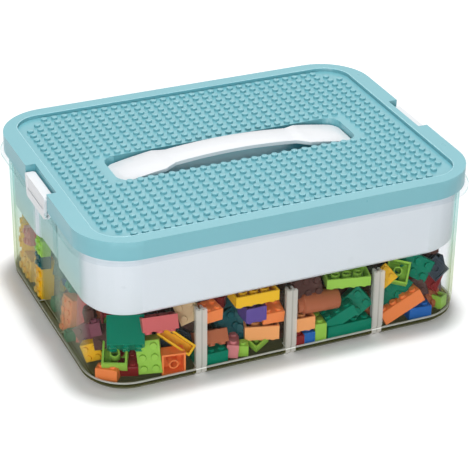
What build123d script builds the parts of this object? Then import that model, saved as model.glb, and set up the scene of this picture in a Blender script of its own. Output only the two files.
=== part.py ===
"""Storage box for building blocks, as separate moulded pieces in millimetres.

The origin is under the middle of the box, on the surface that it stands on. +X runs along
the long side, +Y to the back and +Z up. A clear tub holds three divider plates. A tray
hangs in its rim, a lid with a field of studs closes it, and a latch at each end hooks
over the lid.
"""

import os

from build123d import *

os.makedirs("parts", exist_ok=True)

# Clearances
seat_gap = 0.3
slide_gap = 0.7
pin_fit = 0.08
overrun = 1.0

# Tub: outline and wall
tub_length = 291.4
tub_width = 215.4
tub_corner = 33.0
tub_wall = 1.8

# Tub: flange under the lid, and the rim above it
flange_top = 105.2
flange_thickness = 2.0
flange_reach = 5.9
rim_height = 4.3

# Tub: foot and floor
foot_band_height = 9.0
foot_band_inset = 0.8
foot_chamfer = 3.5
foot_ring_width = 3.0
foot_ring_height = 2.0
floor_thickness = 2.0

# Tub: finger grooves in the short walls
groove_width = 45.0
groove_depth = 4.0
groove_drop = 9.2

# Tub: posts that hold the divider plates
divider_pitch = 69.0
divider_offset = 1.5
divider_thickness = 1.8
divider_play = 0.2
divider_corner = 4.0
post_rib = 1.6
post_depth = 8.0
post_gap = 4.5

# Tray
tray_depth = 51.3
tray_wall = 1.5
tray_floor = 1.8
tray_rounding = 1.8
tray_chamfer = 3.0
tray_lip = 1.3

# Lid: skirt, frame and panel
lid_overhang = 3.8
lid_rounding = 6.0
lid_depth = 14.0
lid_wall = 2.2
skirt_gap = 0.8
frame_thickness = 2.4
frame_end = 12.5
frame_side = 9.7
recess_corner = 21.0
recess_depth = 2.8
seat_rib = 1.6

# Lid: pocket round the handle, and notches for the latches
pocket_length = 188.0
pocket_width = 41.0
pocket_corner = 10.0
notch_reach = 7.2
notch_side_gap = 1.5
notch_skirt = 1.2

# Lid: studs
stud_pitch = 8.0
stud_columns = 33
stud_rows = 25
stud_radius = 2.4
stud_height = 1.8
stud_sides = 3
corner_cut = 2

# Handle strap
strap_proud = 2.3
strap_rise = 10.0
strap_end_gap = 0.8
strap_thickness = 2.6
strap_width = 31.0
strap_waist = 22.0
strap_corner = 7.0
shoulder_start = 48.0
shoulder_length = 9.0
shoulder_round = 6.0

# Handle feet
handle_travel = 6.0
foot_inset = 9.2
foot_thickness = 2.4
foot_width = 16.0
foot_barb = 1.5
barb_height = 2.0
slot_play = 0.4

# Latches
latch_stand = 1.2
latch_thickness = 1.8
latch_drop = 4.1
latch_head = 2.0
latch_head_gap = 1.3
latch_top_width = 45.0
latch_foot_width = 40.6
latch_corner = 1.5
latch_border = 2.4
latch_sink = 0.6
flange_side_gap = 0.5

# Latch hinges
hinge_drop = 5.0
barrel_radius = 2.2
barrel_inset = 0.2
pin_radius = 1.2
pin_length = 36.0
web_rise = 0.9
web_width = 16.0

# Tub, worked out
inner_length = tub_length - 2 * tub_wall
inner_width = tub_width - 2 * tub_wall
inner_corner = tub_corner - tub_wall
floor_top = foot_ring_height + floor_thickness
rim_top = flange_top + rim_height
groove_top = flange_top - groove_drop
boss_top = groove_top + tub_wall
divider_places = [divider_offset + step * divider_pitch for step in (-1, 0, 1)]

# Tray, worked out
lip_bottom = rim_top + seat_gap
lip_top = lip_bottom + tray_lip
tray_bottom = lip_bottom - tray_depth
tray_length = inner_length - 2 * slide_gap
tray_width = inner_width - 2 * slide_gap
tray_corner = inner_corner + tray_rounding
post_top = tray_bottom - post_gap

# Lid, worked out
lid_length = tub_length + 2 * lid_overhang
lid_width = tub_width + 2 * lid_overhang
lid_corner = tub_corner + lid_rounding
lid_bottom = flange_top + skirt_gap
lid_top = lid_bottom + lid_depth
frame_underside = lid_top - frame_thickness
recess_length = lid_length - 2 * frame_end
recess_width = lid_width - 2 * frame_side
panel_top = lid_top - recess_depth
panel_underside = panel_top - lid_wall
rib_bottom = lip_top + seat_gap
notch_face = lid_length / 2 - notch_reach
notch_width = latch_top_width + 2 * notch_side_gap
ledge_end = tub_length / 2 + seat_gap + notch_skirt

# Handle, worked out
strap_top = lid_top + strap_proud
strap_foot = strap_top - strap_rise
strap_length = pocket_length - 2 * strap_end_gap
strap_half = strap_length / 2
strap_radius = (strap_half**2 + strap_rise**2) / (2 * strap_rise)
shoulder_end = shoulder_start + shoulder_length
foot_place = strap_half - foot_inset
pocket_floor = strap_foot - strap_thickness - seat_gap
pocket_underside = pocket_floor - lid_wall
barb_top = pocket_underside - handle_travel - seat_gap

# Latches, worked out
latch_face = lid_length / 2 + latch_stand
latch_top = lid_top - latch_drop
latch_head_reach = latch_face - notch_face - latch_head_gap
ledge_top = latch_top - latch_head - seat_gap
latch_gap_width = latch_top_width + 2 * flange_side_gap
hinge_x = latch_face - barrel_radius - barrel_inset
hinge_z = flange_top - hinge_drop
panel_foot = hinge_z + barrel_radius + latch_border


def stud_places():
    """Centres of the studs: none at the cut corners and none over the handle's pocket."""
    places = []
    for column in range(stud_columns):
        for row in range(stud_rows):
            from_end = min(column, stud_columns - 1 - column)
            from_side = min(row, stud_rows - 1 - row)
            x = (column - (stud_columns - 1) / 2) * stud_pitch
            y = (row - (stud_rows - 1) / 2) * stud_pitch
            beside_pocket = abs(x) > pocket_length / 2 + stud_radius
            before_pocket = abs(y) > pocket_width / 2 + stud_radius
            if from_end + from_side >= corner_cut and (beside_pocket or before_pocket):
                places.append((x, y))
    return places


# Space inside the tub, with the posts and the backs of the grooves standing in it
with BuildPart() as tub_space:
    with BuildSketch(Plane.XY.offset(floor_top)):
        RectangleRounded(inner_length, inner_width, inner_corner)
    extrude(amount=rim_top + overrun - floor_top)
    with BuildSketch(Plane.XY.offset(floor_top)):
        with Locations((-tub_length / 2, 0), (tub_length / 2, 0)):
            Rectangle(2 * (groove_depth + tub_wall), groove_width + 2 * tub_wall)
    extrude(amount=boss_top - floor_top, mode=Mode.SUBTRACT)
    with BuildSketch(Plane.XY.offset(floor_top)):
        for place in divider_places:
            with Locations((place, -inner_width / 2), (place, inner_width / 2)):
                Rectangle(divider_thickness + 2 * divider_play + 2 * post_rib, 2 * post_depth)
                Rectangle(divider_thickness + 2 * divider_play, 2 * post_depth, mode=Mode.SUBTRACT)
    extrude(amount=post_top - floor_top, mode=Mode.SUBTRACT)

# Clear tub: foot band, wall, flange, finger grooves and the latches' webs and pins
with BuildPart() as base_tub:
    with BuildSketch():
        RectangleRounded(
            tub_length - 2 * foot_band_inset,
            tub_width - 2 * foot_band_inset,
            tub_corner - foot_band_inset,
        )
    extrude(amount=foot_band_height)
    chamfer(base_tub.faces().sort_by(Axis.Z)[0].edges(), length=foot_chamfer)
    with BuildSketch(Plane.XY.offset(foot_band_height)):
        RectangleRounded(tub_length, tub_width, tub_corner)
    extrude(amount=rim_top - foot_band_height)
    with BuildSketch(Plane.XY.offset(flange_top - flange_thickness)):
        RectangleRounded(
            tub_length + 2 * flange_reach,
            tub_width + 2 * flange_reach,
            tub_corner + flange_reach,
        )
        latch_gap_place = tub_length / 2 + flange_reach
        with Locations((-latch_gap_place, 0), (latch_gap_place, 0)):
            Rectangle(2 * flange_reach, latch_gap_width, mode=Mode.SUBTRACT)
    extrude(amount=flange_thickness)
    add(tub_space.part, mode=Mode.SUBTRACT)
    with BuildSketch(Plane.XY.offset(foot_band_height)):
        with Locations((-tub_length / 2, 0), (tub_length / 2, 0)):
            Rectangle(2 * groove_depth, groove_width)
    extrude(amount=groove_top - foot_band_height, mode=Mode.SUBTRACT)
    ring_inset = 2 * (foot_band_inset + foot_chamfer + foot_ring_width)
    with BuildSketch():
        RectangleRounded(
            tub_length - ring_inset,
            tub_width - ring_inset,
            tub_corner - ring_inset / 2,
        )
    extrude(amount=foot_ring_height, mode=Mode.SUBTRACT)
    web_root = (tub_length - tub_wall) / 2
    web_place = (hinge_x + web_root) / 2
    web_z = hinge_z + (web_rise - seat_gap) / 2
    with BuildSketch(Plane.XZ):
        with Locations((-web_place, web_z), (web_place, web_z)):
            Rectangle(hinge_x - web_root, web_rise + seat_gap)
    extrude(amount=web_width / 2, both=True)
    with BuildSketch(Plane.XZ):
        with Locations((-hinge_x, hinge_z), (hinge_x, hinge_z)):
            Circle(pin_radius)
    extrude(amount=pin_length / 2, both=True)
base_tub.part.label = "base_tub"
export_step(base_tub.part, "parts/base_tub.step")

# Divider plates, in the slots between the posts' ribs
divider_bottom = floor_top + seat_gap
divider_height = post_top - seat_gap - divider_bottom
divider_width = inner_width - 2 * seat_gap
for divider_name, place in zip(("left", "middle", "right"), divider_places):
    with BuildPart() as divider:
        with BuildSketch(Plane.YZ.offset(place)):
            with Locations((0, divider_bottom + divider_height / 2)):
                Rectangle(divider_width, divider_height)
        extrude(amount=divider_thickness / 2, both=True)
        chamfer(divider.edges().filter_by(Axis.X), length=divider_corner)
    divider.part.label = f"divider_{divider_name}"
    export_step(divider.part, f"parts/divider_{divider_name}.step")

# Tray: it hangs by its lip on the tub's rim, and steps in round the backs of the grooves
step_depth = groove_depth + tub_wall + slide_gap
step_width = groove_width + 2 * (tub_wall + slide_gap)
step_top = boss_top + slide_gap
with BuildPart() as tray_space:
    with BuildSketch(Plane.XY.offset(tray_bottom + tray_floor)):
        RectangleRounded(
            tray_length - 2 * tray_wall,
            tray_width - 2 * tray_wall,
            tray_corner - tray_wall,
        )
    extrude(amount=lip_top + overrun - tray_bottom - tray_floor)
    chamfer(tray_space.faces().sort_by(Axis.Z)[0].edges(), length=tray_chamfer)
    with BuildSketch(Plane.XY.offset(tray_bottom + tray_floor)):
        with Locations((-tub_length / 2, 0), (tub_length / 2, 0)):
            Rectangle(2 * (step_depth + tray_wall), step_width + 2 * tray_wall)
    extrude(amount=step_top + tray_wall - tray_bottom - tray_floor, mode=Mode.SUBTRACT)
with BuildPart() as tray:
    with BuildSketch(Plane.XY.offset(tray_bottom)):
        RectangleRounded(tray_length, tray_width, tray_corner)
    extrude(amount=lip_top - tray_bottom)
    chamfer(tray.faces().sort_by(Axis.Z)[0].edges(), length=tray_chamfer)
    with BuildSketch(Plane.XY.offset(lip_bottom)):
        RectangleRounded(tub_length, tub_width, tub_corner)
    extrude(amount=tray_lip)
    with BuildSketch(Plane.XY.offset(tray_bottom)):
        with Locations((-tub_length / 2, 0), (tub_length / 2, 0)):
            Rectangle(2 * step_depth, step_width)
    extrude(amount=step_top - tray_bottom, mode=Mode.SUBTRACT)
    add(tray_space.part, mode=Mode.SUBTRACT)
tray.part.label = "tray"
export_step(tray.part, "parts/tray.step")

# Space under the lid, with the panel, the seat rib, the pocket and the notches in it
with BuildPart() as lid_space:
    with BuildSketch(Plane.XY.offset(lid_bottom)):
        RectangleRounded(
            lid_length - 2 * lid_wall, lid_width - 2 * lid_wall, lid_corner - lid_wall
        )
    extrude(amount=frame_underside - lid_bottom)
    with BuildSketch(Plane.XY.offset(panel_underside)):
        RectangleRounded(
            recess_length + 2 * lid_wall, recess_width + 2 * lid_wall, recess_corner + lid_wall
        )
    extrude(amount=frame_underside - panel_underside, mode=Mode.SUBTRACT)
    with BuildSketch(Plane.XY.offset(rib_bottom)):
        RectangleRounded(inner_length, inner_width, inner_corner)
        RectangleRounded(
            inner_length - 2 * seat_rib,
            inner_width - 2 * seat_rib,
            inner_corner - seat_rib,
            mode=Mode.SUBTRACT,
        )
    extrude(amount=frame_underside - rib_bottom, mode=Mode.SUBTRACT)
    with BuildSketch(Plane.XY.offset(rib_bottom)):
        with Locations((-lid_length / 2, 0), (lid_length / 2, 0)):
            Rectangle(2 * (notch_reach + lid_wall), notch_width + 2 * lid_wall)
    extrude(amount=frame_underside - rib_bottom, mode=Mode.SUBTRACT)
    skirt_place = ledge_end - notch_skirt + notch_reach / 2
    with BuildSketch(Plane.XY.offset(lid_bottom)):
        with Locations((-skirt_place, 0), (skirt_place, 0)):
            Rectangle(notch_reach, notch_width + 2 * lid_wall)
    extrude(amount=rib_bottom - lid_bottom, mode=Mode.SUBTRACT)
    with BuildSketch(Plane.XY.offset(pocket_underside)):
        Rectangle(pocket_length + 2 * lid_wall, pocket_width + 2 * lid_wall)
    extrude(amount=panel_underside - pocket_underside, mode=Mode.SUBTRACT)

# Lid: frame, studded panel, handle pocket and the notches with their ledges
with BuildPart() as lid:
    with BuildSketch(Plane.XY.offset(lid_bottom)):
        RectangleRounded(lid_length, lid_width, lid_corner)
    extrude(amount=lid_depth)
    with BuildSketch(Plane.XY.offset(panel_top)):
        RectangleRounded(recess_length, recess_width, recess_corner)
    extrude(amount=recess_depth, mode=Mode.SUBTRACT)
    with BuildSketch(Plane.XY.offset(ledge_top)):
        with Locations((-lid_length / 2, 0), (lid_length / 2, 0)):
            Rectangle(2 * notch_reach, notch_width)
    extrude(amount=lid_top - ledge_top, mode=Mode.SUBTRACT)
    cut_place = ledge_end + notch_reach / 2
    with BuildSketch(Plane.XY.offset(lid_bottom)):
        with Locations((-cut_place, 0), (cut_place, 0)):
            Rectangle(notch_reach, notch_width)
    extrude(amount=ledge_top - lid_bottom, mode=Mode.SUBTRACT)
    add(lid_space.part, mode=Mode.SUBTRACT)
    with BuildSketch(Plane.XY.offset(pocket_floor)):
        RectangleRounded(pocket_length, pocket_width, pocket_corner)
    extrude(amount=panel_top - pocket_floor, mode=Mode.SUBTRACT)
    with BuildSketch(Plane.XY.offset(pocket_underside)):
        with Locations((-foot_place, 0), (foot_place, 0)):
            Rectangle(foot_thickness + 2 * slot_play, foot_width + 2 * slot_play)
    extrude(amount=lid_wall, mode=Mode.SUBTRACT)
    with BuildSketch(Plane.XY.offset(panel_top)):
        with Locations(*stud_places()):
            RegularPolygon(radius=stud_radius, side_count=stud_sides)
    extrude(amount=stud_height)
lid.part.label = "lid"
export_step(lid.part, "parts/lid.step")

# Handle: an arched strap, waisted in the middle, on two barbed feet
with BuildPart() as handle:
    with BuildSketch(Plane.XZ):
        with Locations((0, strap_top - strap_radius)):
            Circle(strap_radius)
            Circle(strap_radius - strap_thickness, mode=Mode.SUBTRACT)
        with Locations((0, strap_foot)):
            Rectangle(
                strap_length + 2 * overrun, 2 * (strap_rise + overrun), mode=Mode.INTERSECT
            )
    extrude(amount=strap_width / 2 + overrun, both=True)
    with BuildSketch(Plane.XY.offset(pocket_underside)) as strap_plan:
        with BuildLine():
            Polyline(
                (0, strap_waist / 2),
                (shoulder_start, strap_waist / 2),
                (shoulder_end, strap_width / 2),
                (strap_half, strap_width / 2),
                (strap_half, 0),
            )
            mirror(about=Plane.XZ)
            mirror(about=Plane.YZ)
        make_face()
        end_corners = strap_plan.vertices().filter_by(
            lambda corner: abs(corner.X) > shoulder_end and corner.Y != 0
        )
        fillet(end_corners, radius=strap_corner)
        shoulders = strap_plan.vertices().filter_by(
            lambda corner: 0 < abs(corner.X) <= shoulder_end
        )
        fillet(shoulders, radius=shoulder_round)
    extrude(amount=strap_top + overrun - pocket_underside, mode=Mode.INTERSECT)
    with BuildSketch(Plane.XZ):
        for foot_x in (-foot_place, foot_place):
            with Locations((foot_x, (strap_foot + barb_top) / 2)):
                Rectangle(foot_thickness, strap_foot - barb_top)
            with BuildLine():
                Polyline(
                    (foot_x - foot_thickness / 2 - foot_barb, barb_top),
                    (foot_x + foot_thickness / 2 + foot_barb, barb_top),
                    (foot_x + foot_thickness / 2, barb_top - barb_height),
                    (foot_x - foot_thickness / 2, barb_top - barb_height),
                    close=True,
                )
            make_face()
    extrude(amount=foot_width / 2, both=True)
handle.part.label = "handle"
export_step(handle.part, "parts/handle.step")

# Latches: a framed plate on a split barrel, with a head that hooks over the lid's ledge
with BuildPart() as latch_right:
    with BuildSketch(Plane.YZ.offset(latch_face)) as face_outline:
        with BuildLine():
            Polyline(
                (-latch_top_width / 2, latch_top),
                (latch_top_width / 2, latch_top),
                (latch_foot_width / 2, hinge_z - barrel_radius),
                (-latch_foot_width / 2, hinge_z - barrel_radius),
                close=True,
            )
        make_face()
        chamfer(face_outline.vertices(), length=latch_corner)
    extrude(amount=-latch_thickness)
    with BuildSketch(Plane.XY.offset(latch_top - latch_head)):
        with Locations((latch_face - latch_head_reach / 2, 0)):
            Rectangle(latch_head_reach, latch_top_width - 2 * latch_corner)
    extrude(amount=latch_head)
    head_corners = latch_right.edges().filter_by(Axis.Z).group_by(Axis.X)[0]
    chamfer(head_corners, length=latch_corner)
    with BuildSketch(Plane.XZ):
        with Locations((hinge_x, hinge_z)):
            Circle(barrel_radius)
    extrude(amount=latch_foot_width / 2, both=True)
    with BuildSketch(Plane.XZ):
        with Locations((hinge_x, hinge_z)):
            Circle(pin_radius + pin_fit)
    extrude(amount=latch_foot_width / 2 + overrun, both=True, mode=Mode.SUBTRACT)
    with BuildSketch(Plane.XZ):
        clear_end = hinge_x - barrel_radius - overrun
        plate_back = latch_face - latch_thickness
        with Locations(((clear_end + plate_back) / 2, hinge_z)):
            Rectangle(plate_back - clear_end, 2 * (barrel_radius + overrun))
    extrude(amount=web_width / 2 + seat_gap, both=True, mode=Mode.SUBTRACT)
    with BuildSketch(Plane.YZ.offset(latch_face)):
        with BuildLine():
            Polyline(
                (-latch_top_width / 2 + latch_border, latch_top - latch_border),
                (latch_top_width / 2 - latch_border, latch_top - latch_border),
                (latch_foot_width / 2 - latch_border, panel_foot),
                (-latch_foot_width / 2 + latch_border, panel_foot),
                close=True,
            )
        make_face()
    extrude(amount=-latch_sink, mode=Mode.SUBTRACT)
latch_right.part.label = "latch_right"
export_step(latch_right.part, "parts/latch_right.step")

with BuildPart() as latch_left:
    mirror(latch_right.part, about=Plane.YZ)
latch_left.part.label = "latch_left"
export_step(latch_left.part, "parts/latch_left.step")
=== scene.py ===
"""Looks of the storage box for building blocks, in metres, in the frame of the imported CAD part."""

import math
import random

import bmesh
import bpy
import numpy
from mathutils import Euler, Matrix, Vector


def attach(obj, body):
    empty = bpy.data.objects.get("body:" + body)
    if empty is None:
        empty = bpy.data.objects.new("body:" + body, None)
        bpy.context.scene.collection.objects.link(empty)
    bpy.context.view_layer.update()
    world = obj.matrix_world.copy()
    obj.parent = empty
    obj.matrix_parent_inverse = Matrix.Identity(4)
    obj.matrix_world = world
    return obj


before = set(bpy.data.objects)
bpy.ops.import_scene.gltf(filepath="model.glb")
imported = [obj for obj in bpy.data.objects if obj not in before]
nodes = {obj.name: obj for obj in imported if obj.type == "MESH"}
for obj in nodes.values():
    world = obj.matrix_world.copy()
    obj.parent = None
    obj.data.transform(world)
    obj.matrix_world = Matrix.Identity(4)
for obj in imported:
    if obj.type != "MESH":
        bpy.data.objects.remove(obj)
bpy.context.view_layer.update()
mm = 0.001

# Camera at the place that the photograph was taken from
camera_place = (-0.4744, -1.0856, 0.6979)
camera_turn = (1.06669337, -0.01129142, -0.40880816)
camera_data = bpy.data.cameras.new("camera")
camera_data.lens = 137.86
camera_data.sensor_width = 36.0
camera_data.clip_end = 20.0
camera = bpy.data.objects.new("camera", camera_data)
camera.location = camera_place
camera.rotation_euler = camera_turn
bpy.context.scene.collection.objects.link(camera)
bpy.context.scene.camera = camera


# Materials
def linear(value):
    """One channel from the screen's scale of 0 to 255 to linear light."""
    share = value / 255
    if share <= 0.04045:
        return share / 12.92
    return ((share + 0.055) / 1.055) ** 2.4


def colour(red, green, blue):
    return (linear(red), linear(green), linear(blue), 1.0)


def new_material(name):
    """An empty node material, its tree and its output."""
    material = bpy.data.materials.new(name)
    material.use_nodes = True
    tree = material.node_tree
    tree.nodes.clear()
    output = tree.nodes.new("ShaderNodeOutputMaterial")
    return material, tree, output


def noise(tree, scale, detail=2.0):
    """Noise in the object's own metres, so that its grain has a real size."""
    place = tree.nodes.new("ShaderNodeTexCoord").outputs["Object"]
    texture = tree.nodes.new("ShaderNodeTexNoise")
    texture.inputs["Scale"].default_value = scale
    texture.inputs["Detail"].default_value = detail
    tree.links.new(place, texture.inputs["Vector"])
    return texture.outputs["Fac"]


def spread(tree, source, low, high, from_low=0.3, from_high=0.7):
    """A value mapped from one range to another."""
    mapping = tree.nodes.new("ShaderNodeMapRange")
    mapping.inputs["From Min"].default_value = from_low
    mapping.inputs["From Max"].default_value = from_high
    mapping.inputs["To Min"].default_value = low
    mapping.inputs["To Max"].default_value = high
    tree.links.new(source, mapping.inputs["Value"])
    return mapping.outputs["Result"]


def mixed_colour(tree, share, first, second):
    mix = tree.nodes.new("ShaderNodeMix")
    mix.data_type = "RGBA"
    tree.links.new(share, mix.inputs["Factor"])
    for socket, given in ((mix.inputs["A"], first), (mix.inputs["B"], second)):
        if isinstance(given, tuple):
            socket.default_value = given
        else:
            tree.links.new(given, socket)
    return mix.outputs["Result"]


def relief(tree, height, strength, distance):
    bump = tree.nodes.new("ShaderNodeBump")
    bump.inputs["Strength"].default_value = strength
    bump.inputs["Distance"].default_value = distance
    tree.links.new(height, bump.inputs["Height"])
    return bump.outputs["Normal"]


def moulded(name, first, second, rough, shine=0.4):
    """Moulded opaque plastic: slow colour drift, fine grain and uneven polish."""
    material, tree, output = new_material(name)
    shader = tree.nodes.new("ShaderNodeBsdfPrincipled")
    drift = noise(tree, scale=14.0, detail=3.0)
    tint = mixed_colour(tree, spread(tree, drift, 0.0, 1.0, 0.1, 0.9), first, second)
    tree.links.new(tint, shader.inputs["Base Color"])
    polish = noise(tree, scale=30.0)
    tree.links.new(spread(tree, polish, *rough, 0.0, 1.0), shader.inputs["Roughness"])
    grain = relief(tree, noise(tree, scale=900.0), strength=0.35, distance=0.00002)
    tree.links.new(grain, shader.inputs["Normal"])
    shader.inputs["Specular IOR Level"].default_value = shine
    tree.links.new(shader.outputs["BSDF"], output.inputs["Surface"])
    return material


def worked(tree, operation, first, second=0.0, third=0.0):
    """One step of arithmetic on values and sockets."""
    step = tree.nodes.new("ShaderNodeMath")
    step.operation = operation
    for socket, given in zip(step.inputs, (first, second, third)):
        if isinstance(given, float):
            socket.default_value = given
        else:
            tree.links.new(given, socket)
    return step.outputs["Value"]


clear_roughness = 0.06


def clear(name, tint, body_tint, haze, edge_share):
    """Clear moulded plastic: see-through from the front and milky at glancing angles.

    The tints and the haze are fixed values or functions that work out a socket in the material's tree.
    """
    material, tree, output = new_material(name)
    through = tree.nodes.new("ShaderNodeBsdfTransparent")
    body = tree.nodes.new("ShaderNodeBsdfPrincipled")
    for socket, given in ((through.inputs["Color"], tint), (body.inputs["Base Color"], body_tint)):
        if callable(given):
            tree.links.new(given(tree), socket)
        else:
            socket.default_value = given
    polish = spread(tree, noise(tree, scale=70.0, detail=3.0), clear_roughness, clear_roughness * 2)
    tree.links.new(polish, body.inputs["Roughness"])
    waves = relief(tree, noise(tree, scale=45.0, detail=1.0), strength=0.25, distance=0.0002)
    tree.links.new(waves, body.inputs["Normal"])
    facing = tree.nodes.new("ShaderNodeLayerWeight")
    facing.inputs["Blend"].default_value = facing_blend
    edge = spread(tree, facing.outputs["Facing"], 0.0, edge_share, 0.3, 1.0)
    share = worked(tree, "ADD", edge, haze(tree) if callable(haze) else haze)
    share = worked(tree, "MINIMUM", share, 1.0)
    mix = tree.nodes.new("ShaderNodeMixShader")
    tree.links.new(share, mix.inputs["Fac"])
    tree.links.new(through.outputs["BSDF"], mix.inputs[1])
    tree.links.new(body.outputs["BSDF"], mix.inputs[2])
    tree.links.new(mix.outputs["Shader"], output.inputs["Surface"])
    return material


# Heights and places, in metres, at which the tub's plastic changes its look
foot_band_top = 0.0062
# Half height and soft edge of the painted highlight line over the foot
foot_highlight_half = 0.0004
foot_edge_top = 0.0016
foot_fade = 0.0015
post_pitch = 0.069
post_first = -0.0675
post_half_width = 0.0038
post_edge = 0.0003
post_slot = 0.0005
post_slot_edge = 0.0002
post_slot_haze = 0.8
post_top = 0.0545
post_top_edge = 0.0004
post_depth = 0.1005
posts_end = 0.09
posts_end_edge = 0.0001
foot_highlight_edge = 0.0002
foot_edge_fade = 0.002
foot_band_fade = 0.001
slanted_rise = (0.03, 0.08)
low_rise = (0.004, 0.03)
upper_rise = (0.045, 0.085)
ends_rise = (0.13, 0.144)

# Shares of a face's lean: from the view, and from lying flat
facing_blend = 0.3
glancing_rise = (0.38, 0.72)
flat_rise = (0.8, 0.95)
flat_share = 0.55

# How milky each of its features is
# Share of the painted highlight line over the foot
foot_highlight_share = 0.5
post_haze = 0.55
wall_haze = 0.008
# The foot's dark olive milkiness is partly the plastic's own green and partly painted shade
foot_haze_and_shade = 0.16
foot_edge_haze_and_shade = 0.4


def place_parts(tree):
    """The place's x, y and z in the object's own metres."""
    place = tree.nodes.new("ShaderNodeTexCoord").outputs["Object"]
    parts = tree.nodes.new("ShaderNodeSeparateXYZ")
    tree.links.new(place, parts.inputs["Vector"])
    return parts.outputs


def upright(tree):
    """1 on walls and flat_share on faces that lie flat."""
    normal = tree.nodes.new("ShaderNodeTexCoord").outputs["Normal"]
    parts = tree.nodes.new("ShaderNodeSeparateXYZ")
    tree.links.new(normal, parts.inputs["Vector"])
    level = worked(tree, "ABSOLUTE", parts.outputs["Z"])
    return spread(tree, level, 1.0, flat_share, *flat_rise)


def band(tree, value, low, high, soft):
    """1 between low and high, falling to 0 over the soft distance outside."""
    rise = spread(tree, value, 0.0, 1.0, low - soft, low)
    fall = spread(tree, value, 1.0, 0.0, high, high + soft)
    return worked(tree, "MULTIPLY", rise, fall)


def post_share(tree):
    """1 on the posts that hold the divider plates, a little less in their slots, 0 elsewhere."""
    x, y, z = place_parts(tree)
    along = worked(tree, "WRAP", worked(tree, "SUBTRACT", x, post_first), post_pitch / 2, -post_pitch / 2)
    near = worked(tree, "ABSOLUTE", along)
    strip = spread(tree, near, 1.0, 0.0, post_half_width, post_half_width + post_edge)
    slot = spread(tree, near, post_slot_haze, 1.0, post_slot, post_slot + post_slot_edge)
    strip = worked(tree, "MULTIPLY", strip, slot)
    among = spread(tree, worked(tree, "ABSOLUTE", x), 1.0, 0.0, posts_end, posts_end + posts_end_edge)
    strip = worked(tree, "MULTIPLY", strip, among)
    below = spread(tree, z, 1.0, 0.0, post_top, post_top + post_top_edge)
    outside = spread(tree, worked(tree, "ABSOLUTE", y), 0.0, 1.0, post_depth - post_edge, post_depth)
    return worked(tree, "MULTIPLY", worked(tree, "MULTIPLY", strip, below), outside)


def foot_highlight_line(tree):
    """1 on the painted highlight line over the foot, 0 elsewhere."""
    height = place_parts(tree)[2]
    low, high = foot_band_top - foot_highlight_half, foot_band_top + foot_highlight_half
    return band(tree, height, low, high, foot_highlight_edge)


def tub_tint(tree):
    """What the plastic lets through: neutral, greener at glancing angles and olive in the thick foot, that
    olive both the thick plastic's green and painted shade.
    """
    height = place_parts(tree)[2]
    facing = tree.nodes.new("ShaderNodeLayerWeight")
    facing.inputs["Blend"].default_value = facing_blend
    glancing = spread(tree, facing.outputs["Facing"], 0.0, 1.0, *glancing_rise)
    rise = spread(tree, height, 0.0, 1.0, *slanted_rise)
    slanted = mixed_colour(tree, rise, colour(237, 245, 220), colour(216, 245, 243))
    wall = mixed_colour(tree, glancing, colour(252, 253, 254), slanted)
    foot = spread(tree, height, 1.0, 0.0, foot_band_top - foot_fade, foot_band_top)
    foot = worked(tree, "MULTIPLY", foot, upright(tree))
    # The olive foot tint is the thick plastic's green darkened by painted shade
    return mixed_colour(tree, foot, wall, colour(190, 188, 128))


def tub_body_tint(tree):
    """The milky colour: dark olive at the foot, partly the thick plastic's green and partly painted shade,
    then green-grey, and grey, or teal at the ends, on top, with a near-white painted highlight line over
    the foot.
    """
    height = place_parts(tree)[2]
    rise = spread(tree, height, 0.0, 1.0, *low_rise)
    # Dark olive at the foot: the plastic's own green plus painted shade
    low = mixed_colour(tree, rise, colour(112, 114, 72), colour(198, 206, 184))
    ends = spread(tree, worked(tree, "ABSOLUTE", place_parts(tree)[0]), 0.0, 1.0, *ends_rise)
    upper = mixed_colour(tree, ends, colour(208, 216, 222), colour(150, 198, 192))
    high = mixed_colour(tree, spread(tree, height, 0.0, 1.0, *upper_rise), low, upper)
    posts = mixed_colour(tree, post_share(tree), high, colour(232, 229, 220))
    # The near-white line over the foot is a painted highlight
    return mixed_colour(tree, foot_highlight_line(tree), posts, colour(248, 250, 244))


def tub_haze(tree):
    """How milky the plastic is from the front: posts, the foot's painted highlight line and the foot's edge
    show; the foot's dark olive milkiness is partly painted shade.
    """
    height = place_parts(tree)[2]
    foot = spread(tree, height, foot_edge_haze_and_shade, foot_haze_and_shade, foot_edge_top, foot_edge_top + foot_edge_fade)
    foot_end = spread(tree, height, 1.0, 0.0, foot_band_top - foot_band_fade, foot_band_top)
    foot = worked(tree, "MULTIPLY", foot, foot_end)
    foot = worked(tree, "MULTIPLY", foot, upright(tree))
    # The foot's line adds a painted highlight
    total = worked(tree, "ADD", worked(tree, "MULTIPLY", foot_highlight_line(tree), foot_highlight_share), foot)
    total = worked(tree, "MULTIPLY_ADD", post_share(tree), post_haze, total)
    return worked(tree, "ADD", total, wall_haze)


teal = moulded("teal_plastic", colour(122, 187, 197), colour(117, 182, 193), rough=(0.22, 0.4), shine=0.7)
# A lighter copy of the teal: a painted highlight for the bead along the frame's inner edge
highlight_teal = moulded(
    "teal_painted_highlight", colour(176, 224, 232), colour(168, 218, 227), rough=(0.2, 0.34), shine=0.7
)
white = moulded("white_plastic", colour(238, 240, 242), colour(232, 235, 239), rough=(0.22, 0.4))
clear_tub = clear("clear_plastic", tub_tint, tub_body_tint, tub_haze, 0.42)
divider = clear("divider_plastic", colour(250, 251, 249), colour(206, 208, 200), 0.02, 0.12)


def dress(name, material):
    """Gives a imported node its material."""
    piece = nodes[name]
    piece.data.materials.clear()
    piece.data.materials.append(material)


dress("base_tub", clear_tub)
for side in ("left", "middle", "right"):
    dress("divider_" + side, divider)
for name in ("tray", "handle", "latch_left", "latch_right"):
    dress(name, white)
dress("lid", teal)


edge_width = 0.5 * mm
weld_gap = 0.005 * mm


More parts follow.
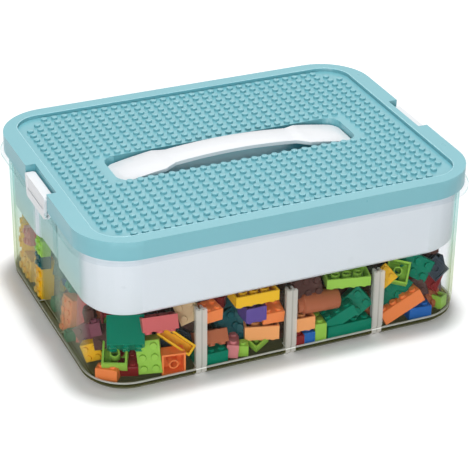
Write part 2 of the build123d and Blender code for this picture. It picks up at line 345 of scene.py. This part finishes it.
def round_edges(name, width):
    """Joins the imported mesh's loose faces and rounds its sharp edges a little."""
    weld = nodes[name].modifiers.new("weld", "WELD")
    weld.merge_threshold = weld_gap
    bevel = nodes[name].modifiers.new("bevel", "BEVEL")
    bevel.width = width
    bevel.segments = 2
    bevel.limit_method = "ANGLE"
    bevel.angle_limit = math.radians(50)
    bevel.harden_normals = True


for name in ("lid", "tray", "handle", "latch_left", "latch_right"):
    round_edges(name, edge_width)


def piece_from(name, work, material, body):
    """Turns a bmesh into a piece that rides on a body."""
    mesh = bpy.data.meshes.new(name)
    work.to_mesh(mesh)
    work.free()
    piece = bpy.data.objects.new(name, mesh)
    bpy.context.scene.collection.objects.link(piece)
    mesh.materials.append(material)
    for face in mesh.polygons:
        face.use_smooth = True
    mesh.set_sharp_from_angle(angle=math.radians(35))
    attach(piece, body)
    return piece


# Studs of the lid: the field's spacing, and each stud's size
stud_pitch = 8.0 * mm
stud_columns = 33
stud_rows = 25
stud_radius = 2.45 * mm
stud_height = 1.85 * mm
stud_round = 0.25 * mm
stud_sides = 20
panel_top = 117.2 * mm
pocket_half_length = 94.0 * mm
pocket_half_width = 20.5 * mm
cut_corner = 2


def add_turned(work, place, profile, sides, cap=True):
    """Adds a turned form to a bmesh from a profile of (radius, height) pairs."""
    rings = []
    for radius, height in profile:
        ring = []
        for step in range(sides):
            angle = math.tau * step / sides
            point = Vector((radius * math.cos(angle), radius * math.sin(angle), height))
            ring.append(work.verts.new(place @ point))
        rings.append(ring)
    for low, high in zip(rings, rings[1:]):
        for step in range(sides):
            after = (step + 1) % sides
            work.faces.new((low[step], low[after], high[after], high[step]))
    if cap:
        work.faces.new(rings[-1])


stud_profile = (
    (stud_radius + 0.12 * mm, 0.0),
    (stud_radius, 0.15 * mm),
    (stud_radius, stud_height - stud_round),
    (stud_radius - 0.3 * stud_round, stud_height - 0.3 * stud_round),
    (stud_radius - stud_round, stud_height),
)
stud_work = bmesh.new()
for column in range(stud_columns):
    for row in range(stud_rows):
        x = (column - (stud_columns - 1) / 2) * stud_pitch
        y = (row - (stud_rows - 1) / 2) * stud_pitch
        from_end = min(column, stud_columns - 1 - column)
        from_side = min(row, stud_rows - 1 - row)
        if from_end + from_side < cut_corner:
            continue
        if abs(x) <= pocket_half_length + stud_radius and abs(y) <= pocket_half_width + stud_radius:
            continue
        add_turned(stud_work, Matrix.Translation((x, y, panel_top)), stud_profile, stud_sides)
studs = piece_from("lid_studs", stud_work, teal, "lid")

# Thin bead along the inner edge of the lid's frame, in a lighter teal that is a painted highlight
recess_half_length = 137.0 * mm
recess_half_width = 101.8 * mm
recess_corner = 21.0 * mm
lid_top = 120.0 * mm
bead_radius = 0.35 * mm
bead_sides = 8
bead_steps = 12
bead_height = lid_top - bead_radius / 2


def rounded_loop(half_length, half_width, corner):
    """Points and outward headings along a rounded rectangle, anticlockwise from the right."""
    for quarter, (sx, sy) in enumerate(((1, 1), (-1, 1), (-1, -1), (1, -1))):
        centre = Vector((sx * (half_length - corner), sy * (half_width - corner), 0.0))
        for step in range(bead_steps + 1):
            angle = math.pi / 2 * (quarter + step / bead_steps)
            outward = Vector((math.cos(angle), math.sin(angle), 0.0))
            yield centre + corner * outward, outward


bead_work = bmesh.new()
bead_rings = []
for point, outward in rounded_loop(recess_half_length, recess_half_width, recess_corner):
    ring = []
    for step in range(bead_sides):
        angle = math.tau * step / bead_sides
        offset = outward * math.cos(angle) + Vector((0.0, 0.0, math.sin(angle)))
        lift = Vector((0.0, 0.0, bead_height))
        ring.append(bead_work.verts.new(point + bead_radius * offset + lift))
    bead_rings.append(ring)
for ring, following in zip(bead_rings, bead_rings[1:] + bead_rings[:1]):
    for step in range(bead_sides):
        after = (step + 1) % bead_sides
        bead_work.faces.new((ring[step], ring[after], following[after], following[step]))
bead = piece_from("lid_frame_highlight_bead", bead_work, highlight_teal, "lid")

# Bricks in the tub, in millimetres. They are its contents, shown as in use, and ride on the base.
brick_pitch = 8.0
brick_height = 9.6
brick_play = 0.2
brick_wall = 1.3
knob_radius = 2.4
knob_height = 1.7
tube_radius = 3.25
tube_bore = 2.4
tub_inside = (143.9, 105.9)
tub_inside_corner = 31.2
tub_floor = 4.1
brick_clearance = 0.4
brick_edge = 0.35
knob_edge = 0.25
seen_brick_sides = 16
pile_brick_sides = 8

brick_colours = {
    "lime": (colour(166, 214, 88), colour(154, 202, 76)),
    "green": (colour(0, 136, 104), colour(0, 124, 96)),
    "teal": (colour(24, 92, 96), colour(18, 80, 86)),
    "orange": (colour(255, 146, 82), colour(252, 136, 74)),
    "peach": (colour(255, 178, 112), colour(255, 168, 102)),
    "yellow": (colour(255, 200, 44), colour(246, 188, 34)),
    "coral": (colour(222, 112, 110), colour(210, 100, 100)),
    "pink": (colour(224, 140, 140), colour(214, 128, 130)),
    "plum": (colour(128, 72, 84), colour(116, 64, 76)),
    "brown": (colour(190, 110, 75), colour(178, 100, 68)),
    "umber": (colour(96, 62, 56), colour(84, 54, 48)),
    "tan": (colour(206, 176, 132), colour(196, 164, 120)),
    "purple": (colour(106, 84, 160), colour(96, 74, 148)),
    "blue": (colour(46, 112, 190), colour(38, 100, 176)),
    "red": (colour(150, 46, 46), colour(136, 38, 40)),
    "slate": (colour(62, 74, 86), colour(52, 64, 76)),
}


def turn(yaw, pitch, spin, roll):
    """A brick's turn: spun about its knobs, tipped forward, rolled, then turned about the vertical."""
    parts = ((yaw, "Z"), (roll, "Y"), (pitch, "X"), (spin, "Z"))
    whole = Matrix.Identity(3)
    for angle, axis in parts:
        whole = whole @ Matrix.Rotation(math.radians(angle), 3, axis)
    return whole


def outline_distance(x, y):
    """How far a point lies outside the tub's inner outline, in millimetres: negative inside."""
    beyond_x = abs(x) - (tub_inside[0] - tub_inside_corner)
    beyond_y = abs(y) - (tub_inside[1] - tub_inside_corner)
    outside = math.hypot(max(beyond_x, 0.0), max(beyond_y, 0.0))
    return outside + min(max(beyond_x, beyond_y), 0.0) - tub_inside_corner


def corner_points(half, low, high):
    sides = [(sx * half[0], sy * half[1]) for sx in (-1, 1) for sy in (-1, 1)]
    return [Vector((x, y, z)) for x, y in sides for z in (low, high)]


class Brick:
    """One brick: its colour, its knobs across and along, its size, its turn and its middle."""

    def __init__(self, shade, across, along, high, size, turned):
        self.shade = shade
        self.across = across
        self.along = along
        self.size = size
        self.high = high * size
        self.turned = turned
        self.half = [(brick_pitch * size * count - brick_play) / 2 for count in (across, along)]
        self.middle = Vector((0.0, 0.0, 0.0))
        self.knobs = knob_height * size
        points = corner_points(self.half, -self.high / 2, self.high / 2 + self.knobs)
        self.corners = [turned @ point for point in points]

    def reach(self, middle):
        """How far the brick reaches outside the tub's inner outline."""
        return max(outline_distance(middle.x + corner.x, middle.y + corner.y) for corner in self.corners)

    def box(self):
        """The brick's box with its knobs: middle, axes and half sizes."""
        lift = self.turned @ Vector((0.0, 0.0, self.knobs / 2))
        return self.middle + lift, self.turned, (*self.half, (self.high + self.knobs) / 2)


# Each seen brick: colour, knobs across and along, height, size, the photograph's pixel at the middle of
# its named face, that face, yaw, pitch, spin, roll and its distance behind the wall. The pixels and the
# turns were chosen one by one, so neighbours overlap in places, and some reach into a divider plate.
photo_pixels = 470
sight_plane = -100.0
slide_start = 200.0
slide_step = 0.5
slide_steps = 1200
seen_bricks = (
    # First bay
    ("green", 3, 2, 19.2, 1.1, (125.5, 329.6), "back", -20, 134, 0, 0, 0),
    ("lime", 2, 4, 9.6, 1.12, (115.5, 341), "under", -25, -147, 0, 0, 0),
    ("lime", 2, 3, 9.6, 1.06, (148.8, 360.5), "top", -23, 80, 6, 0, 0),
    ("coral", 3, 2, 9.6, 1.07, (160.5, 323.4), "back", -7, 155, 0, 0, 0),
    ("tan", 2, 2, 12.0, 1.0, (187, 311.5), "top", -30, 64, 28, 0, 4),
    ("yellow", 3, 1, 9.6, 1.15, (176.5, 340), "under", -14, -122, 38, 0, 0),
    ("orange", 2, 2, 9.6, 1.08, (174, 369), "under", -8, -89, 0, 0, 0),
    ("yellow", 2, 2, 9.6, 0.88, (92, 361), "top", -34, 88, 20, 0, 0),
    ("orange", 2, 1, 9.6, 1.0, (106, 379), "front", -38, 0, 0, 0, 0),
    ("plum", 2, 2, 9.6, 1.0, (86, 334), "top", -45, 70, 40, 0, 0),
    ("coral", 2, 4, 9.6, 1.3, (90, 316), "top", -45, 60, 10, 0, 8),
    ("red", 2, 2, 9.6, 1.0, (127, 372), "top", -20, 20, 0, 0, 7),
    ("slate", 2, 4, 9.6, 1.2, (165, 348), "top", -20, 75, 60, 0, 15),
    ("umber", 2, 4, 9.6, 1.2, (188, 345), "top", -10, 72, 0, 0, 17),
    ("umber", 2, 2, 9.6, 1.1, (104, 336), "top", -40, 60, 20, 0, 9),
    # Second bay
    ("umber", 2, 4, 9.6, 1.1, (272, 338), "top", -5, 80, 0, 0, 15),
    ("teal", 2, 3, 9.6, 1.1, (230, 338), "top", 0, 72, 20, 0, 13),
    ("orange", 2, 2, 11.0, 0.86, (214.5, 316.4), "front", 8, 6, 0, 0, 1),
    ("teal", 2, 4, 9.6, 1.2, (231, 308), "top", -35, 70, 12, 0, 12),
    ("yellow", 4, 2, 8.0, 1.03, (258, 299.3), "back", -1, 180, 0, 0, 0),
    ("purple", 2, 2, 12.0, 0.98, (256.5, 315), "back", 0, 180, 0, 0, 0),
    ("orange", 2, 3, 9.6, 1.0, (274, 318), "front", -4, 12, 0, 0, 0),
    ("peach", 3, 2, 11.0, 1.04, (262.1, 333.5), "back", -16, 182, 0, 0, 0),
    ("brown", 3, 2, 9.6, 1.0, (212, 337), "back", -4, 150, 0, 0, 0),
    ("green", 3, 2, 9.6, 1.0, (212.6, 359), "front", 0, 5, 0, 0, 0),
    ("pink", 1, 2, 9.6, 1.1, (232.5, 351.8), "front", -22, 0, 0, 5, 0),
    ("lime", 2, 2, 9.6, 0.8, (256, 350), "under", -23, -150, 45, 0, 0),
    ("lime", 1, 1, 9.6, 1.0, (243, 351.5), "front", -20, 10, 0, 0, 0),
    # Third bay
    ("umber", 3, 2, 9.6, 1.0, (307, 288), "top", 0, 62, 0, 0, 6),
    ("peach", 2, 2, 10.5, 1.0, (305, 324.4), "back", -3, 180, 0, 0, 0),
    ("red", 1, 1, 9.6, 1.0, (299.4, 342.5), "front", 0, 0, 0, 0, 0),
    ("blue", 1, 1, 9.6, 1.1, (309.4, 340), "front", -4, 0, 0, 0, 0),
    ("lime", 1, 2, 14.0, 1.1, (320.6, 337), "front", -8, 0, 0, 0, 0),
    ("lime", 4, 2, 7.6, 1.02, (349, 283), "back", -12, 182, 0, 0, 0),
    ("green", 4, 2, 9.6, 1.1, (350, 329), "front", 0, 0, 0, 0, 0),
    ("green", 3, 2, 9.6, 1.0, (342, 318), "front", -4, 0, 0, -28, 0),
    ("green", 2, 2, 9.6, 1.1, (357, 302), "top", -20, 75, 42, 0, 2),
    ("brown", 2, 2, 9.6, 1.0, (364, 308), "top", -20, 80, 20, 0, 8),
    # Fourth bay
    ("green", 2, 3, 9.6, 1.1, (415, 266), "top", -10, 76, 60, 0, 14),
    ("umber", 2, 2, 9.6, 0.9, (417, 287), "top", -30, 62, 20, 0, 8),
    ("red", 2, 4, 9.6, 0.9, (423, 275), "top", -10, 60, 60, 0, 10),
    ("brown", 2, 2, 9.6, 0.9, (433, 309), "top", 20, 60, 0, 0, 5),
    ("yellow", 2, 2, 9.6, 0.85, (385, 276), "top", -23, 61, 42, 0, 3),
    ("lime", 2, 2, 9.6, 1.05, (398, 271), "under", -23, -130, 12, 0, 2),
    ("green", 2, 3, 9.6, 1.15, (393, 291), "top", -15, 66, -38, 0, 5),
    ("orange", 4, 2, 9.6, 1.08, (402.7, 313), "front", 0, -8, 0, -25, 0),
    ("blue", 2, 2, 9.6, 1.1, (420, 319), "front", -5, 0, 0, 0, 0),
    ("lime", 2, 1, 9.6, 1.02, (431.5, 300.3), "back", -60, 180, 0, 0, 0),
    ("slate", 2, 2, 5.0, 0.88, (436, 268.5), "under", -23, -118, 45, 0, 0),
    # Against the left wall
    ("yellow", 2, 3, 9.6, 1.0, (22, 232), "top", -103, 85, 0, 0, 0),
    ("coral", 2, 2, 9.6, 0.9, (27, 236), "top", -90, 85, 20, 0, 0),
    ("yellow", 2, 3, 9.6, 1.1, (26, 270), "top", -92, 85, 90, 0, 0),
    ("lime", 2, 2, 9.6, 0.8, (38.5, 246), "top", -90, 85, 0, 0, 0),
    ("teal", 2, 2, 9.6, 0.8, (38.5, 259), "top", -90, 85, 8, 0, 0),
    ("yellow", 2, 4, 9.6, 1.0, (39, 283), "top", -90, 86, 2, 0, 0),
    ("orange", 2, 4, 9.6, 0.9, (66, 316), "top", -80, 82, 0, 0, 0),
    ("green", 1, 2, 9.6, 0.8, (65, 336), "front", -90, 0, 0, 0, 0),
)


def sighted(pixel):
    """Where the line of sight through a pixel crosses an upright plane near the front wall."""
    focal = camera_data.lens / camera_data.sensor_width * photo_pixels
    across = (pixel[0] - photo_pixels / 2) / focal
    down = (pixel[1] - photo_pixels / 2) / focal
    heading = Euler(camera_turn).to_matrix() @ Vector((across, -down, -1.0))
    start = Vector(camera_place) / mm
    return start + heading * (sight_plane - start.y) / heading.y


def seen_brick(shade, across, along, high, size, pixel, face, yaw, pitch, spin, roll, gap):
    """A brick slid inwards along the line of sight until it stands inside the tub's wall."""
    brick = Brick(shade, across, along, high, size, turn(yaw, pitch, spin, roll))
    anchors = {
        "top": (0, 0, brick.high / 2),
        "under": (0, 0, -brick.high / 2),
        "front": (0, -brick.half[1], 0),
        "back": (0, brick.half[1], 0),
    }
    point = sighted(pixel)
    view = (Vector(camera_place) / mm - point).normalized()
    start = point - brick.turned @ Vector(anchors[face])
    slides = (slide_start - slide_step * step for step in range(slide_steps))
    slide = next(way for way in slides if brick.reach(start + view * way) <= -brick_clearance)
    brick.middle = start + view * (slide - gap)
    lowest = min(corner.z for corner in brick.corners) + brick.middle.z
    brick.middle.z += max(0.0, tub_floor - lowest)
    return brick


# Bricks that fill the tub behind those, laid one by one at the lowest free height.
# Each stage: bricks at most in each bay, draws for each, and the front and back limit of its ground.
pile_seed = 41
pile_stages = ((70, 16, -92.0, -56.0), (105, 10, -62.0, 105.0))
pile_top = 56.0
bay_edges = (-146.0, -67.5, 1.5, 70.5, 146.0)
divider_clearance = 1.4
bay_overlook = 30
pile_gap = 0.02
level_limit = 1e-6
out_of_reach = 1e9
pile_sizes = (
    ((2, 2), (1, 2), (1, 3), (1, 1), (1, 4)),
    ((2, 4), (2, 2), (2, 3), (1, 4), (1, 2), (3, 2)),
)
pile_shades = (
    ("umber", "slate", "plum", "umber", "brown", "red", "umber"),
    (
        "umber", "green", "teal", "brown", "red", "plum",
        "slate", "orange", "yellow", "lime", "coral", "blue",
    ),
)


def free_height(box, obstacles):
    """The lowest height at which a box at its x and y is clear of the obstacles."""
    middle, axes, half = box
    own = numpy.array(axes).T
    lengths = numpy.array(half)
    flat = numpy.array((middle.x, middle.y, 0.0))
    centres, turns, halves = obstacles
    crossed = numpy.cross(own[None, :, None, :], turns[:, None, :, :]).reshape(len(centres), 9, 3)
    tests = numpy.concatenate((numpy.broadcast_to(own, turns.shape), turns, crossed), axis=1)
    reach = numpy.abs(tests @ own.T) @ lengths
    reach += numpy.einsum("nij,nj->ni", numpy.abs(numpy.einsum("nij,nkj->nik", tests, turns)), halves)
    apart = numpy.einsum("nij,nj->ni", tests, centres - flat)
    upward = tests[:, :, 2]
    level = numpy.abs(upward) < level_limit
    safe = numpy.where(level, 1.0, upward)
    one, two = (apart - reach) / safe, (apart + reach) / safe
    low = numpy.where(level, -out_of_reach, numpy.minimum(one, two)).max(axis=1)
    high = numpy.where(level, out_of_reach, numpy.maximum(one, two)).min(axis=1)
    misses = (level & (numpy.abs(apart) >= reach)).any(axis=1) | (low >= high)
    spans = sorted((a, b) for a, b, missed in zip(low, high, misses) if not missed)
    height = middle.z
    for begin, end in spans:
        if height <= begin:
            break
        height = max(height, end + pile_gap)
    return height


def as_arrays(boxes):
    centres = numpy.array([tuple(box[0]) for box in boxes])
    turns = numpy.array([numpy.array(box[1]).T for box in boxes])
    return centres, turns, numpy.array([box[2] for box in boxes])


def laid_pile(draw, low_x, high_x, boxes):
    """The bricks that fill one bay around the boxes in it: small dark ones first, near the front."""
    laid = []
    for stage, (count, tries, front, back) in enumerate(pile_stages):
        for _ in range(count):
            best = lowest_brick(draw, stage, (low_x, high_x, front, back), tries, as_arrays(boxes))
            if best is not None:
                laid.append(best)
                boxes.append(best.box())
    return laid


def lowest_brick(draw, stage, bay, tries, obstacles):
    """The one of several random bricks that comes to lie lowest in the bay, or None if none fits."""
    low_x, high_x, front, back = bay
    best, best_top = None, pile_top
    for _ in range(tries):
        across, along = draw.choice(pile_sizes[stage])
        pitch = draw.choice((0, 0, 0, 90, 90, 180)) + draw.uniform(-14, 14)
        turned = turn(draw.uniform(0, 360), pitch, draw.choice((0, 90)), draw.uniform(-12, 12))
        shade = draw.choice(pile_shades[stage])
        brick = Brick(shade, across, along, brick_height, draw.choice((1.0, 1.0, 1.1)), turned)
        brick.middle = Vector((draw.uniform(low_x, high_x), draw.uniform(front, back), 0.0))
        sides = [corner.x + brick.middle.x for corner in brick.corners]
        nearest = min(corner.y + brick.middle.y for corner in brick.corners)
        if min(sides) < low_x or max(sides) > high_x or nearest < front:
            continue
        if brick.reach(brick.middle) > -brick_clearance:
            continue
        middle, axes, half = brick.box()
        knob_lift = middle.z
        middle.z = tub_floor - min(corner.z for corner in brick.corners) + knob_lift
        brick.middle.z = free_height((middle, axes, half), obstacles) - knob_lift
        top = brick.middle.z + max(corner.z for corner in brick.corners)
        if top <= best_top:
            best, best_top = brick, top
    return best


def add_ring_face(work, outer, inner):
    """Faces between two square loops of four vertices."""
    for step in range(4):
        after = (step + 1) % 4
        work.faces.new((outer[step], outer[after], inner[after], inner[step]))


def square_loop(work, matrix, half_x, half_y, z):
    signs = ((-1, -1), (1, -1), (1, 1), (-1, 1))
    return [work.verts.new(matrix @ Vector((sx * half_x, sy * half_y, z))) for sx, sy in signs]


def add_brick(work, brick, sides):
    """One hollow brick with knobs on top and tubes inside."""
    matrix = Matrix.Scale(mm, 4) @ Matrix.Translation(brick.middle) @ brick.turned.to_4x4()
    size = brick.size
    pitch = brick_pitch * size
    half_x, half_y = brick.half
    wall = brick_wall * size
    top, bottom, ceiling = brick.high / 2, -brick.high / 2, brick.high / 2 - wall
    outer_top = square_loop(work, matrix, half_x - brick_edge, half_y - brick_edge, top)
    outer_high = square_loop(work, matrix, half_x, half_y, top - brick_edge)
    outer_low = square_loop(work, matrix, half_x, half_y, bottom)
    inner_low = square_loop(work, matrix, half_x - wall, half_y - wall, bottom)
    inner_top = square_loop(work, matrix, half_x - wall, half_y - wall, ceiling)
    work.faces.new(outer_top)
    add_ring_face(work, outer_high, outer_top)
    add_ring_face(work, outer_low, outer_high)
    add_ring_face(work, inner_low, outer_low)
    add_ring_face(work, inner_top, inner_low)
    work.faces.new(list(reversed(inner_top)))
    for column in range(brick.across):
        for row in range(brick.along):
            x = (column - (brick.across - 1) / 2) * pitch
            y = (row - (brick.along - 1) / 2) * pitch
            profile = (
                (knob_radius * size, top),
                (knob_radius * size, top + brick.knobs - knob_edge),
                (knob_radius * size - knob_edge, top + brick.knobs),
            )
            add_turned(work, matrix @ Matrix.Translation((x, y, 0)), profile, sides)
    for column in range(brick.across - 1):
        for row in range(brick.along - 1):
            x = (column - (brick.across - 2) / 2) * pitch
            y = (row - (brick.along - 2) / 2) * pitch
            profile = (
                (tube_bore * size, ceiling),
                (tube_bore * size, bottom),
                (tube_radius * size, bottom),
                (tube_radius * size, ceiling),
            )
            add_turned(work, matrix @ Matrix.Translation((x, y, 0)), profile, sides, cap=False)


# Barrel that lies in the third bay: its middle, its slope, and its profile along its axis
barrel_middle = Vector((25.5, -97.0, 34.5))
barrel_turn = Matrix.Rotation(math.radians(2), 3, "Y") @ Matrix.Rotation(math.radians(90), 3, "Y")
barrel_profile = (
    (0.5, -16.4), (6.2, -16.4), (6.2, -12.4), (7.2, -12.0), (7.7, -11.4), (7.7, 15.6),
    (7.3, 16.2), (6.0, 16.4), (6.0, 13.6), (0.5, 13.6),
)
barrel_sides = 32
barrel_half = (8.0, 8.0, 16.6)

# Backs of the finger grooves, as boxes that the pile keeps clear of
groove_x = 143.0
groove_z = 49.0
groove_half = (3.6, 24.8, 49.5)
groove_backs = [
    (Vector((side * groove_x, 0.0, groove_z)), Matrix.Identity(3), groove_half) for side in (-1, 1)
]

bricks = [seen_brick(*row) for row in seen_bricks]
draw = random.Random(pile_seed)
seen_boxes = [brick.box() for brick in bricks]
seen_boxes += groove_backs
seen_boxes.append((barrel_middle, barrel_turn, barrel_half))
brick_work = {name: bmesh.new() for name in brick_colours}
for brick in bricks:
    add_brick(brick_work[brick.shade], brick, seen_brick_sides)
for low_edge, high_edge in zip(bay_edges, bay_edges[1:]):
    low_x, high_x = low_edge + divider_clearance, high_edge - divider_clearance
    near = [
        box for box in seen_boxes
        if low_edge - bay_overlook < box[0].x < high_edge + bay_overlook
    ]
    for brick in laid_pile(draw, low_x, high_x, near):
        add_brick(brick_work[brick.shade], brick, pile_brick_sides)
barrel_place = Matrix.Scale(mm, 4) @ Matrix.Translation(barrel_middle) @ barrel_turn.to_4x4()
add_turned(brick_work["brown"], barrel_place, barrel_profile, barrel_sides)
for name, work in brick_work.items():
    shades = moulded("brick_" + name, *brick_colours[name], rough=(0.28, 0.4), shine=0.14)
    piece_from("bricks_" + name, work, shades, "base")

# Floor and light, in metres
floor_half = 6.0
floor_drop = 0.0003
floor_near = 0.32
floor_end = 1.0
floor_near_lift = 0.05
world_light = 0.27


def seen_share(tree, kinds):
    """1 for the rays of the given kinds, 0 for the rest."""
    path = tree.nodes.new("ShaderNodeLightPath")
    total = None
    for kind in kinds:
        ray = path.outputs[kind]
        total = ray if total is None else worked(tree, "MAXIMUM", total, ray)
    return total


floor_material, floor_tree, floor_output = new_material("floor")
floor_shader = floor_tree.nodes.new("ShaderNodeBsdfDiffuse")
floor_seen = seen_share(floor_tree, ("Is Camera Ray",))
floor_shown = mixed_colour(floor_tree, floor_seen, colour(240, 240, 240), (1.0, 1.0, 1.0, 1.0))
floor_tree.links.new(floor_shown, floor_shader.inputs["Color"])
floor_lift = floor_tree.nodes.new("ShaderNodeEmission")
floor_lift.inputs["Color"].default_value = (1.0, 1.0, 1.0, 1.0)
floor_place = floor_tree.nodes.new("ShaderNodeTexCoord").outputs["Object"]
floor_distance = floor_tree.nodes.new("ShaderNodeVectorMath")
floor_distance.operation = "LENGTH"
floor_tree.links.new(floor_place, floor_distance.inputs[0])
floor_far = spread(floor_tree, floor_distance.outputs["Value"], floor_near_lift, 1.0, floor_near, floor_end)
floor_lifted = seen_share(floor_tree, ("Is Camera Ray", "Is Glossy Ray"))
floor_lift_share = worked(floor_tree, "MULTIPLY", floor_lifted, floor_far)
floor_tree.links.new(floor_lift_share, floor_lift.inputs["Strength"])
floor_sum = floor_tree.nodes.new("ShaderNodeAddShader")
floor_tree.links.new(floor_shader.outputs["BSDF"], floor_sum.inputs[0])
floor_tree.links.new(floor_lift.outputs["Emission"], floor_sum.inputs[1])
floor_tree.links.new(floor_sum.outputs["Shader"], floor_output.inputs["Surface"])
floor_work = bmesh.new()
bmesh.ops.create_grid(floor_work, x_segments=1, y_segments=1, size=floor_half)
floor_mesh = bpy.data.meshes.new("floor")
floor_work.to_mesh(floor_mesh)
floor_work.free()
floor_mesh.materials.append(floor_material)
floor = bpy.data.objects.new("floor", floor_mesh)
floor.location.z = -floor_drop
bpy.context.scene.collection.objects.link(floor)


def area_lamp(name, place, aim, size, power):
    lamp_data = bpy.data.lights.new(name, "AREA")
    lamp_data.shape = "RECTANGLE"
    lamp_data.size, lamp_data.size_y = size
    lamp_data.energy = power
    lamp = bpy.data.objects.new(name, lamp_data)
    lamp.location = place
    lamp.rotation_euler = (Vector(aim) - Vector(place)).to_track_quat("-Z", "Y").to_euler()
    bpy.context.scene.collection.objects.link(lamp)


area_lamp("key", (0.16, 0.16, 4.0), (0, 0, 0.1), (0.45, 0.45), 97.0)
area_lamp("front_panel", (-0.75, -1.35, 0.5), (0, 0, 0.08), (1.2, 0.4), 10.2)
area_lamp("back_panel", (0.5, 0.9, 1.1), (0, 0, 0.08), (0.9, 0.6), 2.5)

world = bpy.data.worlds.new("world")
bpy.context.scene.world = world
world.use_nodes = True
background = world.node_tree.nodes["Background"]
background.inputs["Color"].default_value = (1, 1, 1, 1)
world_shown = seen_share(world.node_tree, ("Is Camera Ray", "Is Glossy Ray", "Is Transmission Ray"))
world_strength = worked(world.node_tree, "MULTIPLY_ADD", world_shown, 1.0 - world_light, world_light)
world.node_tree.links.new(world_strength, background.inputs["Strength"])

bpy.context.scene.view_settings.view_transform = "Standard"
